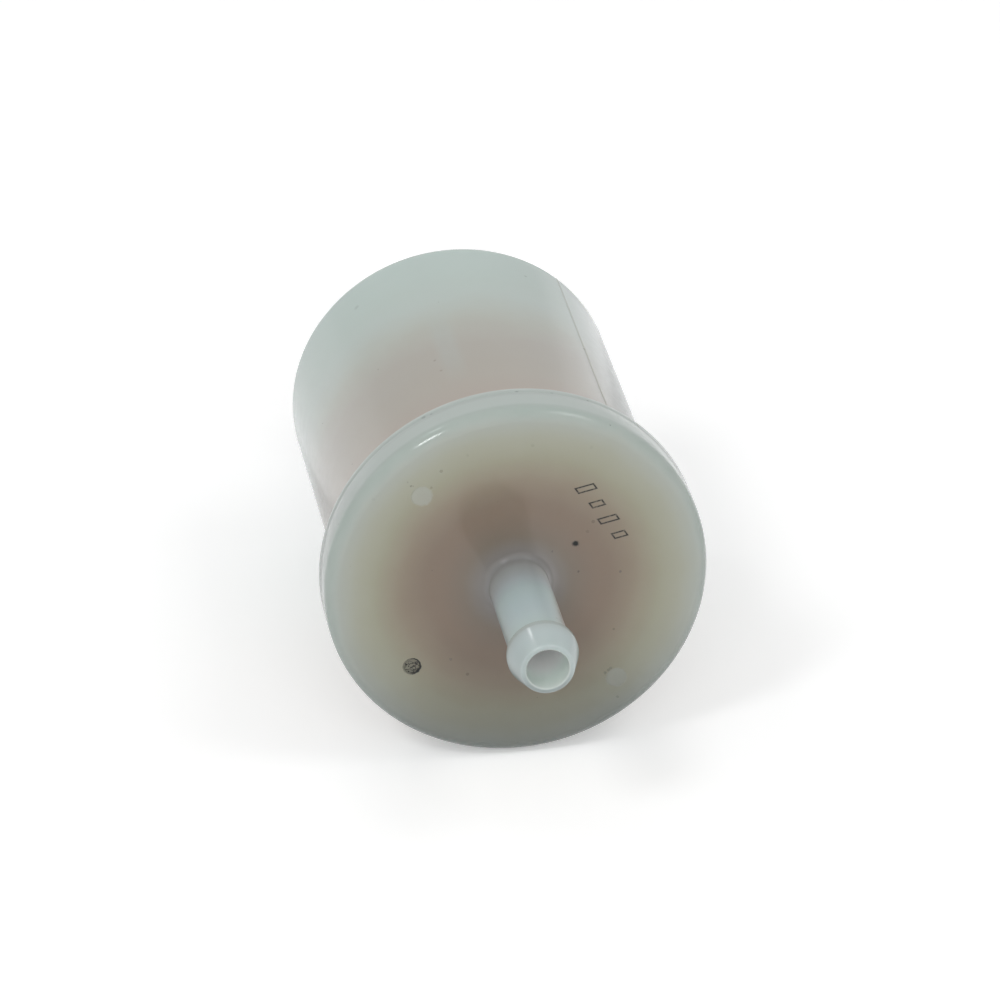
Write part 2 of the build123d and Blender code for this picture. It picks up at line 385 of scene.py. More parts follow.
class Nodes:
    """Short names for the nodes of one shader tree."""

    def __init__(self, tree):
        self.tree = tree

    def put(self, target, value):
        if isinstance(value, bpy.types.NodeSocket):
            self.tree.links.new(value, target)
        else:
            target.default_value = value

    def node(self, kind, inputs=(), **settings):
        node = self.tree.nodes.new(kind)
        for key, value in settings.items():
            setattr(node, key, value)
        for key, value in dict(inputs).items():
            self.put(node.inputs[key], value)
        return node

    def math(self, operation, *values):
        node = self.node("ShaderNodeMath", enumerate(values), operation=operation)
        return node.outputs[0]

    def vector(self, operation, *values):
        node = self.node("ShaderNodeVectorMath", enumerate(values), operation=operation)
        gives_number = operation in ("LENGTH", "DISTANCE", "DOT_PRODUCT")
        return node.outputs["Value" if gives_number else "Vector"]

    def fade(self, value, start, end, low=0.0, high=1.0):
        """Smooth step from low to high as the value goes from start to end."""
        inputs = {"Value": value, "From Min": start, "From Max": end, "To Min": low, "To Max": high}
        return self.node("ShaderNodeMapRange", inputs, interpolation_type="SMOOTHSTEP").outputs[0]

    def noise(self, position, scale, detail=2.0, roughness=0.5):
        """Seeded by its place alone, with scale in features per millimetre."""
        inputs = {"Vector": position, "Scale": scale, "Detail": detail, "Roughness": roughness}
        return self.node("ShaderNodeTexNoise", inputs).outputs["Fac"]

    def mix(self, share, first, second, blend="MIX"):
        node = self.node("ShaderNodeMix", data_type="RGBA", blend_type=blend)
        for index, value in ((0, share), (6, first), (7, second)):
            self.put(node.inputs[index], value)
        return node.outputs[2]

    def mix_value(self, share, first, second):
        node = self.node("ShaderNodeMix", data_type="FLOAT")
        for index, value in ((0, share), (2, first), (3, second)):
            self.put(node.inputs[index], value)
        return node.outputs[0]

    def curve(self, share, stops):
        """Smooth colour curve over 0 to 1, with stops as (share, colour)."""
        node = self.node("ShaderNodeValToRGB", {"Fac": share})
        ramp = node.color_ramp
        ramp.interpolation = "CARDINAL"
        while len(ramp.elements) < len(stops):
            ramp.elements.new(0.5)
        for element, (position, colour) in zip(ramp.elements, stops):
            element.position = position
            element.color = colour
        return node.outputs["Color"]

    def ramp(self, value, stops):
        """Colour ramp over a length, with stops as (millimetres, colour)."""
        start, end = stops[0][0], stops[-1][0]
        inputs = {"Value": value, "From Min": start, "From Max": end}
        share = self.node("ShaderNodeMapRange", inputs).outputs[0]
        return self.curve(share, [((length - start) / (end - start), colour) for length, colour in stops])

    def seen_directly(self):
        """1 for rays that show the background: camera, mirror and transmission rays."""
        path = self.node("ShaderNodeLightPath").outputs
        seen = self.math("MAXIMUM", path["Is Camera Ray"], path["Is Glossy Ray"])
        return self.math("MAXIMUM", seen, path["Is Transmission Ray"])


class Painter(Nodes):
    """Nodes of one material."""

    def __init__(self, name):
        self.material = bpy.data.materials.new(name)
        self.material.use_nodes = True
        super().__init__(self.material.node_tree)
        self.shader = self.tree.nodes["Principled BSDF"]

    def position(self):
        """Place on the object, in millimetres."""
        coordinate = self.node("ShaderNodeTexCoord").outputs["Object"]
        scaled = self.node("ShaderNodeVectorMath", {0: coordinate, "Scale": 1 / MM}, operation="SCALE")
        return scaled.outputs["Vector"]

    def bump(self, height, strength, distance):
        inputs = {"Height": height, "Strength": strength, "Distance": distance}
        self.put(self.shader.inputs["Normal"], self.node("ShaderNodeBump", inputs).outputs["Normal"])


# Colours of the nylon under light, by distance from the axis, on the cover's face
FACE_COLOURS = (
    (6.0, srgb(139, 129, 117)),
    (10.0, srgb(145, 129, 114)),
    (13.0, srgb(150, 135, 119)),
    (16.0, srgb(163, 153, 135)),
    (19.0, srgb(174, 172, 153)),
    (22.0, srgb(183, 185, 171)),
    (24.2, srgb(184, 190, 183)),
    (25.5, srgb(176, 187, 181)),
)

# Colours of the body by distance behind the face: brown where the paper shows through
BODY_COLOURS = (
    (8.0, srgb(185, 173, 162)),
    (17.0, srgb(183, 176, 165)),
    (23.0, srgb(182, 177, 167)),
    (29.0, srgb(184, 181, 172)),
    (35.0, srgb(189, 193, 184)),
    (41.0, srgb(193, 204, 198)),
    (47.0, srgb(194, 208, 202)),
    (55.0, srgb(196, 211, 206)),
)
# Pale colour for the body's painted light on the right side and for the rib's streak
BODY_PALE = srgb(184, 196, 193)

# Colours of a spigot by distance from the housing
SPIGOT_COLOURS = (
    (0.0, srgb(137, 136, 135)),
    (2.0, srgb(155, 158, 157)),
    (5.0, srgb(169, 177, 181)),
    (8.0, srgb(180, 196, 198)),
    (14.0, srgb(192, 207, 210)),
    (18.5, srgb(197, 212, 211)),
    (19.5, srgb(187, 199, 199)),
    (23.5, srgb(179, 190, 189)),
)

# Colours of a bore by depth from its mouth, with painted light: paler deeper in, where little light
# reaches
BORE_PAINTED_LIGHT_COLOURS = (
    (0.0, srgb(198, 207, 202)),
    (3.0, srgb(230, 238, 234)),
    (7.0, srgb(252, 254, 253)),
)

# Colours of the cup's far end, by distance from the axis
END_COLOURS = (
    (3.0, srgb(166, 176, 174)),
    (9.0, srgb(178, 190, 187)),
    (22.0, srgb(190, 202, 199)),
)
SIDE_COLOUR = srgb(187, 197, 192)
SEAM_COLOUR = srgb(178, 188, 183)
RING_COLOUR = srgb(180, 190, 185)
HAZE_COLOUR = srgb(150, 150, 151)
MARK_COLOUR = srgb(188, 192, 185)
SPECK_COLOUR = srgb(18, 18, 16)
INK_COLOUR = srgb(26, 25, 24)
PARTING_COLOUR = srgb(150, 148, 130)

# Painted shade of the cover, from its lowest to its higher places, for how much light comes through it
SHADE_LOW, SHADE_HIGH = -25.5, 14.0
COVER_PAINTED_SHADES = ((0.0, 0.45), (0.16, 0.6), (0.29, 0.77), (0.46, 0.92), (0.64, 0.98), (1.0, 1.0))

# Painted light and shade of a spigot: above, below and at the sides, where light comes in through the
# plastic
STEM_TOP_SHADE, STEM_LOW_SHADE = 1.05, 1.3
STEM_RIGHT_SHADE = 1.6
BARB_LOW_SHADE, BARB_TOP_SHADE = 0.72, 1.06
BARB_LEFT_SHADE = 0.94
ROOT_RIGHT_SHADE = 0.8

# Painted shade of the flange's two sides, with the angles from the top at which it starts and ends
FLANGE_RIGHT_SHADE = 0.72
FLANGE_RIGHT_TURN = (52.0, 70.0)
FLANGE_LEFT_SHADE = 0.84
FLANGE_LEFT_TURN = (-45.0, -70.0)

# Cover: drift of the face's colours, haze round the spigot's root, and strength of the discs
FACE_DRIFT = 2.0
HAZE_RADII = (7.6, 4.9)
HAZE_SHARE = 0.45
MARK_SHARE = 0.6

# Body: drift of its colours, and places as angles from the top, with the strength of each; painted light
# on the right side, painted shade on the flanks
BODY_DRIFT = 5.0
PAINTED_LIGHT_ANGLE = 70.0
PAINTED_LIGHT_SHARE = 0.9
STREAK_ANGLE = -13.0
STREAK_SHARE = 0.25
FLANK_ANGLE = -20.0
FLANK_SHADE = 0.86
PARTING_SHARE = 0.42

# Gloss of the nylon: roughness of clean plastic and of dirt, and its bump in metres
CLEAN_ROUGHNESS = (0.11, 0.16)
DIRT_ROUGHNESS = 0.6
BUMP_STRENGTH = 0.08
BUMP_DISTANCE = 0.00005

# Optics of the nylon, with the reach of light inside it in metres
NYLON_IOR = 1.53
COVER_SPECULAR = 0.5
CUP_SPECULAR = 0.35
SCATTER_REACH = 0.002
SEAM_SCATTER = 0.1
SEAM_SCATTER_WIDTH = 0.9

# Dark specks in the plastic. On the face: x, z, size, darkness.
FACE_SPECKS = (
    (7.63, 5.39, 0.46, 1.0),
    (-11.44, 15.33, 0.20, 0.2),
    (-6.69, 19.62, 0.2, 0.1),
    (1.88, 20.36, 0.24, 0.1),
    (9.68, 19.41, 0.24, 0.06),
    (-19.08, 14.23, 0.24, 0.06),
    (9.22, 7.04, 0.25, 0.12),
    (4.57, 4.47, 0.15, 0.4),
    (8.06, 1.17, 0.17, 0.55),
    (13.67, 0.68, 0.20, 0.45),
    (-9.02, -10.52, 0.18, 0.35),
    (12.45, -13.76, 0.20, 0.35),
    (12.19, -14.01, 0.20, 0.35),
    (11.71, -14.41, 0.22, 0.40),
    (13.42, -18.18, 0.20, 0.35),
    (-14.15, 15.76, 0.15, 0.45),
    (-13.85, 15.70, 0.12, 0.35),
    (-14.60, 16.40, 0.16, 0.20),
)

# On the round outside: radius, angle from the top, distance behind the face, size, darkness
ROUND_SPECKS = (
    (BODY_RADIUS, -69.9, 35.1, 0.14, 0.8),
    (BODY_RADIUS, -61.0, 16.8, 0.14, 0.8),
    (BODY_RADIUS, 56.1, 22.2, 0.20, 0.9),
    (BODY_RADIUS, -18.6, 25.0, 0.20, 0.18),
    (BODY_RADIUS, -17.5, 21.7, 0.20, 0.16),
    (BODY_RADIUS, -38.9, 50.0, 0.40, 0.12),
    (BODY_RADIUS, -82.4, 30.3, 0.40, 0.14),
    (BODY_RADIUS, 41.5, 33.6, 0.30, 0.25),
    (FLANGE_RADIUS, 1.6, 5.6, 0.26, 0.25),
    (FLANGE_RADIUS, 12.1, 5.6, 0.22, 0.12),
    (FLANGE_RADIUS, 23.4, 5.6, 0.16, 0.6),
    (FLANGE_RADIUS, -67.0, 1.9, 0.20, 0.25),
    (FLANGE_RADIUS, -27.0, 5.7, 0.34, 0.22),
    (FLANGE_RADIUS, -24.5, 5.5, 0.20, 0.18),
    (STEM_RADIUS, -42.5, -18.0, 0.14, 0.25),
    (STEM_RADIUS, 38.0, -15.6, 0.16, 0.25),
)

# Four slanted ink strokes in a row on the face
INK_MIDDLE = (11.25, 9.83)
INK_ALONG = (0.532, -0.847)
INK_PITCH = 2.83
INK_COUNT = 4
INK_HALF_WIDTH = 0.42
INK_HALF_HEIGHT = 1.15
INK_SHORT_HALF_HEIGHT = 0.8
INK_SLANT = 0.35
INK_LINE = 0.11


class Nylon(Painter):
    """Milky nylon, painted by its place on the housing."""

    def __init__(self, name, specular_level):
        super().__init__(name)
        self.place = self.position()
        split = self.node("ShaderNodeSeparateXYZ", {0: self.place}).outputs
        self.x, self.station, self.z = split[0], split[1], split[2]
        squares = [self.math("MULTIPLY", value, value) for value in (self.x, self.z)]
        self.radius = self.math("SQRT", self.math("ADD", *squares))
        turn = self.math("ARCTAN2", self.x, self.z)
        self.angle = self.math("MULTIPLY", turn, 180 / pi)
        self.behind = self.math("SUBTRACT", self.station, FACE)
        self.cloud = self.noise(self.place, 0.11, 3.0, 0.55)
        self.mottle = self.noise(self.place, 0.6, 3.0, 0.6)
        self.wobble = self.scattered()
        inputs = self.shader.inputs
        inputs["IOR"].default_value = NYLON_IOR
        inputs["Specular IOR Level"].default_value = specular_level
        inputs["Subsurface Radius"].default_value = (1.0, 1.0, 1.0)
        inputs["Subsurface Scale"].default_value = SCATTER_REACH
        from_seam = self.math("ABSOLUTE", self.math("SUBTRACT", self.behind, SEAM - FACE))
        on_flange = self.fade(self.radius, BODY_RADIUS + 0.6, BODY_RADIUS + 1.6)
        clear = self.math("SUBTRACT", 1.0, on_flange)
        near_seam = self.fade(from_seam, 0.05, SEAM_SCATTER_WIDTH, SEAM_SCATTER, 1.0)
        self.put(inputs["Subsurface Weight"], self.math("MAXIMUM", clear, near_seam))

    def scattered(self):
        """The place, shifted a little by noise, for the ragged edges of specks."""
        noise = self.node("ShaderNodeTexNoise", {"Vector": self.place, "Scale": 2.2, "Detail": 2.0})
        centred = self.vector("SUBTRACT", noise.outputs["Color"], (0.5, 0.5, 0.5))
        shift = self.node("ShaderNodeVectorMath", {0: centred, "Scale": 0.35}, operation="SCALE")
        return self.vector("ADD", self.place, shift.outputs["Vector"])

    def speck_shade(self, specks):
        """Product of the shades of specks, each as (centre, size, darkness)."""
        shade = 1.0
        for centre, size, darkness in specks:
            distance = self.vector("DISTANCE", self.wobble, centre)
            mask = self.fade(distance, size * 0.55, size * 1.25, 1 - darkness, 1.0)
            shade = self.math("MULTIPLY", shade, mask)
        return shade

    def dust(self):
        """Shade of tiny faint specks, scattered in a fixed pattern."""
        inputs = {"Vector": self.place, "Scale": 0.3, "Randomness": 1.0}
        cells = self.node("ShaderNodeTexVoronoi", inputs).outputs
        lot = self.node("ShaderNodeSeparateColor", {0: cells["Color"]}).outputs
        reach = self.fade(lot[0], 0.5, 1.0, 0.02, 0.075)
        near = self.math("LESS_THAN", cells["Distance"], reach)
        strength = self.math("MULTIPLY", self.fade(lot[1], 0.3, 1.0, 0.0, 0.3), near)
        return self.math("SUBTRACT", 1.0, strength)

    def spigot_share(self, root, outward):
        """1 on the outside of a spigot and 0 on the housing."""
        clear = self.fade(self.radius, STEM_RADIUS + STEM_FILLET + 0.9, STEM_RADIUS + 0.15)
        if outward > 0:
            beyond = self.fade(self.station, root - 0.4, root + 0.5)
        else:
            beyond = self.fade(self.station, root + 0.4, root - 0.5)
        return self.math("MULTIPLY", clear, beyond)

    def with_spigot(self, colour, root, outward):
        """The colour, changed to a spigot's outside and bore, with painted light and shade on both."""
        length = self.math("MULTIPLY", self.math("SUBTRACT", self.station, root), outward)
        outside = self.ramp(length, SPIGOT_COLOURS)
        tilt = self.math("DIVIDE", self.z, self.radius)
        barb_start = SPIGOT_LENGTH - BARB_LENGTH
        stem = self.fade(length, barb_start + 0.1, barb_start - 0.1)
        aside = self.math("DIVIDE", self.x, self.radius)
        # Painted light and shade: the stem lighter below and on the right, the barb darker below and on
        # its left
        stem_shade = self.fade(tilt, 1.0, -0.1, STEM_TOP_SHADE, STEM_LOW_SHADE)
        stem_right = self.fade(aside, 0.25, 1.1, 1.0, STEM_RIGHT_SHADE)
        stem_shade = self.math("MULTIPLY", stem_shade, stem_right)
        barb_shade = self.fade(tilt, -0.9, 0.1, BARB_LOW_SHADE, BARB_TOP_SHADE)
        barb_left = self.fade(aside, -0.4, -1.0, 1.0, BARB_LEFT_SHADE)
        barb_shade = self.math("MULTIPLY", barb_shade, barb_left)
        shade = self.mix_value(stem, barb_shade, stem_shade)
        outside = self.mix(1.0, outside, shade, "MULTIPLY")
        colour = self.mix(self.spigot_share(root, outward), colour, outside)
        # Painted shade on the right side of the spigot's root
        close_in = self.fade(self.radius, 4.95, 4.5)
        root_zone = self.math("MULTIPLY", self.fade(length, 1.5, 0.6), close_in)
        root_right = self.fade(aside, 0.2, 0.8, 1.0, ROOT_RIGHT_SHADE)
        colour = self.mix(1.0, colour, self.mix_value(root_zone, 1.0, root_right), "MULTIPLY")
        # The bore's colours hold painted light: paler deeper in
        depth = self.math("SUBTRACT", SPIGOT_LENGTH, length)
        bore = self.fade(self.radius, BORE_RADIUS + 0.25, BORE_RADIUS + 0.05)
        return self.mix(bore, colour, self.ramp(depth, BORE_PAINTED_LIGHT_COLOURS))

    def painted_flange_shade(self, colour, share):
        """The colour, with painted shade where the flange turns away at its two sides."""
        right = self.fade(self.angle, *FLANGE_RIGHT_TURN, 1.0, FLANGE_RIGHT_SHADE)
        left = self.fade(self.angle, *FLANGE_LEFT_TURN, 1.0, FLANGE_LEFT_SHADE)
        shade = self.math("MULTIPLY", right, left)
        return self.mix(1.0, colour, self.mix_value(share, 1.0, shade), "MULTIPLY")

    def finish(self, colour, dirt):
        """Connect the colour, and give the surface its satin gloss and fine bump."""
        colour = self.mix(1.0, colour, self.dust(), "MULTIPLY")
        self.put(self.shader.inputs["Base Color"], colour)
        gloss = self.fade(self.mottle, 0.3, 0.7, *CLEAN_ROUGHNESS)
        self.put(self.shader.inputs["Roughness"], self.mix_value(dirt, gloss, DIRT_ROUGHNESS))
        grain = self.noise(self.place, 3.5, 4.0, 0.6)
        waves = self.noise(self.place, 0.35, 2.0, 0.5)
        height = self.math("ADD", self.math("MULTIPLY", grain, 0.12), waves)
        self.bump(height, BUMP_STRENGTH, BUMP_DISTANCE)
        return self.material


def on_round(radius, angle, behind):
    """Point on the housing's outside, in millimetres."""
    return radius * sin(radians(angle)), FACE + behind, radius * cos(radians(angle))


def cover_nylon():
    paint = Nylon("cover_nylon", COVER_SPECULAR)
    drift = paint.math("MULTIPLY", paint.cloud, FACE_DRIFT)
    face_radius = paint.math("SUBTRACT", paint.math("ADD", paint.radius, drift), FACE_DRIFT / 2)
    colour = paint.ramp(face_radius, FACE_COLOURS)
    side = paint.fade(paint.behind, 1.6, 2.6)
    colour = paint.mix(side, colour, SIDE_COLOUR)
    colour = paint.mix(paint.fade(paint.behind, 4.5, SEAM - FACE), colour, SEAM_COLOUR)
    # Painted shade at the flange's two sides
    colour = paint.painted_flange_shade(colour, side)

    # Haze of thicker plastic round the spigot's root
    haze = paint.math("MULTIPLY", paint.fade(paint.radius, *HAZE_RADII), HAZE_SHARE)
    colour = paint.mix(haze, colour, HAZE_COLOUR)

    # Painted shade: the cover is darker low down, where less light comes through the plastic
    inputs = {"Value": paint.z, "From Min": SHADE_LOW, "From Max": SHADE_HIGH}
    height = paint.node("ShaderNodeMapRange", inputs).outputs[0]
    shades = [(share, (value, value, value, 1.0)) for share, value in COVER_PAINTED_SHADES]
    shade = paint.node("ShaderNodeRGBToBW", {0: paint.curve(height, shades)}).outputs[0]
    stem = paint.spigot_share(FACE, -1)
    shade = paint.mix_value(stem, shade, 1.0)
    colour = paint.mix(1.0, colour, shade, "MULTIPLY")
    colour = paint.with_spigot(colour, FACE, -1)

    # Mould marks, ink and specks
    on_face = paint.fade(paint.behind, 0.35, 0.27)
    clear = paint.fade(paint.radius, STEM_RADIUS + 0.4, STEM_RADIUS + 0.8)
    on_face = paint.math("MULTIPLY", on_face, clear)
    for x, z, diameter, depth in EJECTOR_MARKS:
        distance = paint.vector("DISTANCE", paint.wobble, (x, FACE + depth, z))
        disc = paint.fade(distance, diameter / 2 + 0.15, diameter / 2 - 0.25)
        disc = paint.math("MULTIPLY", disc, MARK_SHARE)
        # The discs keep the painted shade of the face round them
        shaded = paint.mix(1.0, MARK_COLOUR, shade, "MULTIPLY")
        colour = paint.mix(disc, colour, shaded)
    specks = [((x, FACE, z), size, darkness) for x, z, size, darkness in FACE_SPECKS]
    for radius, angle, behind, size, darkness in ROUND_SPECKS:
        if radius != BODY_RADIUS:
            specks.append((on_round(radius, angle, behind), size, darkness))
    dark = paint.speck_shade(specks)
    ink = paint.math("MULTIPLY", ink_strokes(paint), on_face)
    gate = gate_dirt(paint)
    dirt = paint.math("MAXIMUM", ink, gate)
    dirt = paint.math("MAXIMUM", dirt, paint.math("SUBTRACT", 1.0, dark))
    colour = paint.mix(paint.math("SUBTRACT", 1.0, dark), colour, SPECK_COLOUR)
    colour = paint.mix(gate, colour, SPECK_COLOUR)
    colour = paint.mix(ink, colour, INK_COLOUR)
    return paint.finish(colour, dirt)


def ink_strokes(paint):
    """Outlines of slanted strokes of ink, repeated along a row."""
    along = Vector((INK_ALONG[0], 0, INK_ALONG[1]))
    upward = Vector((-INK_ALONG[1], 0, INK_ALONG[0]))
    middle = Vector((INK_MIDDLE[0], 0, INK_MIDDLE[1]))
    offset = paint.vector("SUBTRACT", paint.place, middle)
    row = paint.vector("DOT_PRODUCT", offset, along)
    rise = paint.vector("DOT_PRODUCT", offset, upward)
    rise = paint.math("ABSOLUTE", rise)
    lean = paint.math("MULTIPLY", paint.vector("DOT_PRODUCT", offset, upward), INK_SLANT)
    start = -INK_PITCH * INK_COUNT / 2
    within = paint.math("SUBTRACT", paint.math("WRAP", row, INK_PITCH, 0.0), INK_PITCH / 2)
    across = paint.math("ABSOLUTE", paint.math("SUBTRACT", within, lean))
    side_gap = paint.math("SUBTRACT", across, INK_HALF_WIDTH)
    odd = paint.math("GREATER_THAN", paint.math("WRAP", row, 2 * INK_PITCH, 0.0), INK_PITCH)
    half_height = paint.mix_value(odd, INK_HALF_HEIGHT, INK_SHORT_HALF_HEIGHT)
    end_gap = paint.math("SUBTRACT", rise, half_height)
    gap = paint.math("ABSOLUTE", paint.math("MAXIMUM", side_gap, end_gap))
    line = paint.fade(gap, INK_LINE * 1.5, INK_LINE * 0.5)
    in_row = paint.fade(paint.math("ABSOLUTE", row), -start + 0.05, -start - 0.05)
    worn = paint.fade(paint.noise(paint.place, 2.5), 0.25, 0.5, 0.55, 0.95)
    return paint.math("MULTIPLY", paint.math("MULTIPLY", line, in_row), worn)


def gate_dirt(paint):
    """Dirt caught in the gate mark: a broken dark rim and curls inside."""
    x, z, diameter, depth = GATE_MARK
    centre = (x, FACE + depth / 2, z)
    offset = paint.vector("SUBTRACT", paint.wobble, centre)
    distance = paint.vector("LENGTH", offset)
    split = paint.node("ShaderNodeSeparateXYZ", {0: offset}).outputs
    turn = paint.math("ARCTAN2", split[2], split[0])
    lit_side = paint.math("COSINE", turn)
    rim_gap = paint.math("ABSOLUTE", paint.math("SUBTRACT", distance, diameter / 2 + 0.02))
    rim = paint.fade(rim_gap, 0.2, 0.08)
    strength = paint.fade(lit_side, -0.7, 0.45, 0.45, 1.0)
    rim = paint.math("MULTIPLY", rim, strength)
    curls = paint.noise(paint.place, 1.8, 1.0)
    curl_gap = paint.math("ABSOLUTE", paint.math("SUBTRACT", curls, 0.5))
    curl = paint.fade(curl_gap, 0.07, 0.02, 0.0, 0.95)
    inside = paint.fade(distance, diameter / 2, diameter / 2 - 0.1)
    film = paint.math("MULTIPLY", inside, 0.28)
    curl = paint.math("MAXIMUM", paint.math("MULTIPLY", curl, inside), film)
    return paint.math("MAXIMUM", rim, curl)


def cup_nylon():
    paint = Nylon("cup_nylon", CUP_SPECULAR)
    drift = paint.math("MULTIPLY", paint.math("SUBTRACT", paint.cloud, 0.5), BODY_DRIFT)
    behind = paint.math("ADD", paint.behind, drift)
    colour = paint.ramp(behind, BODY_COLOURS)

    # Painted light: the body is paler towards the right, where light comes in and the paper shows less
    aside = paint.math("ABSOLUTE", paint.math("SUBTRACT", paint.angle, PAINTED_LIGHT_ANGLE))
    clear = paint.math("MULTIPLY", paint.fade(aside, 42.0, 8.0), PAINTED_LIGHT_SHARE)
    colour = paint.mix(clear, colour, BODY_PALE)

    # A guide rib inside shows as a pale streak
    streak = paint.math("ABSOLUTE", paint.math("SUBTRACT", paint.angle, STREAK_ANGLE))
    streak = paint.math("MULTIPLY", paint.fade(streak, 5.5, 1.5), paint.fade(paint.behind, 16.0, 26.0))
    streak = paint.math("MULTIPLY", streak, paint.fade(paint.behind, 40.0, 32.0))
    colour = paint.mix(paint.math("MULTIPLY", streak, STREAK_SHARE), colour, BODY_PALE)

    # Painted shade: the flanks are a little darker than the top
    lean = paint.math("ABSOLUTE", paint.math("SUBTRACT", paint.angle, FLANK_ANGLE))
    colour = paint.mix(1.0, colour, paint.fade(lean, 22.0, 80.0, 1.0, FLANK_SHADE), "MULTIPLY")

    # Flange ring and inlet spigot are of plain pale nylon
    ring = paint.fade(paint.radius, BODY_RADIUS + 0.3, BODY_RADIUS + 1.2)
    past_seam = paint.fade(paint.behind, SEAM - FACE, SEAM - FACE + 0.6)
    ring_colour = paint.mix(past_seam, SEAM_COLOUR, RING_COLOUR)
    colour = paint.mix(ring, colour, ring_colour)
    # Painted shade at the flange ring's two sides
    colour = paint.painted_flange_shade(colour, ring)
    end_share = paint.fade(paint.station, FAR_END - 1.5, FAR_END - 0.3)
    colour = paint.mix(end_share, colour, paint.ramp(paint.radius, END_COLOURS))
    colour = paint.with_spigot(colour, FAR_END, 1)

    # Parting line
    line = 0.0
    sway = paint.math("MULTIPLY", paint.math("SUBTRACT", paint.cloud, 0.5), 0.5)
    for angle in (PARTING_ANGLE, PARTING_ANGLE - 180):
        away = paint.math("ABSOLUTE", paint.math("SUBTRACT", paint.math("ADD", paint.angle, sway), angle))
        line = paint.math("MAXIMUM", line, paint.fade(away, 0.55, 0.2))
    on_body = paint.fade(paint.radius, BODY_RADIUS - 1.0, BODY_RADIUS - 0.5)
    line = paint.math("MULTIPLY", paint.math("MULTIPLY", line, on_body), PARTING_SHARE)
    colour = paint.mix(line, colour, PARTING_COLOUR)

    specks = []
    for radius, angle, behind, size, darkness in ROUND_SPECKS:
        if radius != STEM_RADIUS:
            specks.append((on_round(radius, angle, behind), size, darkness))
    dirt = paint.math("SUBTRACT", 1.0, paint.speck_shade(specks))
    colour = paint.mix(dirt, colour, SPECK_COLOUR)
    return paint.finish(colour, dirt)


def paper(name):
    """Resin-treated filter paper: matted fibres, darker resin and paler folds."""
    paint = Painter(name)
    place = paint.position()
    split = paint.node("ShaderNodeSeparateXYZ", {0: place}).outputs
    squares = [paint.math("MULTIPLY", value, value) for value in (split[0], split[2])]
    radius = paint.math("SQRT", paint.math("ADD", *squares))
    stretched = paint.vector("MULTIPLY", place, (1.0, 0.25, 1.0))
    fibres = paint.noise(stretched, 2.6, 5.0, 0.65)
    crossed = paint.noise(paint.vector("MULTIPLY", place, (0.3, 1.0, 0.3)), 2.2, 4.0, 0.6)
    resin = paint.noise(place, 0.16, 2.0)
    colour = paint.mix(paint.fade(fibres, 0.3, 0.7), srgb(168, 134, 112), srgb(196, 164, 140))
    colour = paint.mix(paint.fade(crossed, 0.55, 0.75, 0.0, 0.35), colour, srgb(150, 112, 90))
    colour = paint.mix(paint.fade(resin, 0.4, 0.7, 0.0, 0.4), colour, srgb(158, 116, 96))
    fold = paint.fade(radius, 16.4, 17.4, 0.0, 0.35)
    colour = paint.mix(fold, colour, srgb(206, 178, 154))
    paint.put(paint.shader.inputs["Base Color"], colour)
    paint.put(paint.shader.inputs["Roughness"], paint.fade(resin, 0.3, 0.7, 0.92, 0.74))
    height = paint.math("ADD", fibres, paint.math("MULTIPLY", crossed, 0.7))
    paint.bump(height, 0.5, 0.00012)
    return paint.material


def moulded_white(name):
    """Natural white plastic with faint flow lines and a fine eroded surface."""
    paint = Painter(name)
    place = paint.position()
    cloud = paint.noise(place, 0.18, 3.0, 0.6)
    flow = paint.noise(paint.vector("MULTIPLY", place, (0.25, 1.6, 0.25)), 1.1, 3.0)
    grain = paint.noise(place, 9.0, 3.0, 0.7)
    colour = paint.mix(paint.fade(cloud, 0.3, 0.7), srgb(226, 224, 212), srgb(236, 235, 226))
    colour = paint.mix(paint.fade(flow, 0.5, 0.75, 0.0, 0.3), colour, srgb(214, 210, 194))
    paint.put(paint.shader.inputs["Base Color"], colour)
    paint.put(paint.shader.inputs["Roughness"], paint.fade(grain, 0.3, 0.7, 0.34, 0.46))
    paint.bump(paint.math("ADD", grain, paint.math("MULTIPLY", flow, 0.5)), 0.2, 0.00004)
    return paint.material


def set_adhesive(name):
    """Amber adhesive with small trapped bubbles and a wavy poured surface."""
    paint = Painter(name)
    place = paint.position()
    pool = paint.noise(place, 0.3, 3.0)
    cells = paint.node("ShaderNodeTexVoronoi", {"Vector": place, "Scale": 1.4, "Randomness": 1.0})
    bubble = paint.fade(cells.outputs["Distance"], 0.14, 0.08)
    colour = paint.mix(paint.fade(pool, 0.3, 0.7), srgb(196, 158, 96), srgb(218, 184, 122))
    colour = paint.mix(paint.math("MULTIPLY", bubble, 0.5), colour, srgb(240, 222, 180))
    paint.put(paint.shader.inputs["Base Color"], colour)
    paint.put(paint.shader.inputs["Roughness"], paint.fade(pool, 0.3, 0.7, 0.18, 0.3))
    inputs = paint.shader.inputs
    inputs["IOR"].default_value = 1.5
    inputs["Subsurface Weight"].default_value = 0.6
    inputs["Subsurface Radius"].default_value = (1.0, 0.7, 0.35)
    inputs["Subsurface Scale"].default_value = 0.001
    paint.bump(paint.math("ADD", pool, paint.math("MULTIPLY", bubble, 0.2)), 0.4, 0.0002)
    return paint.material


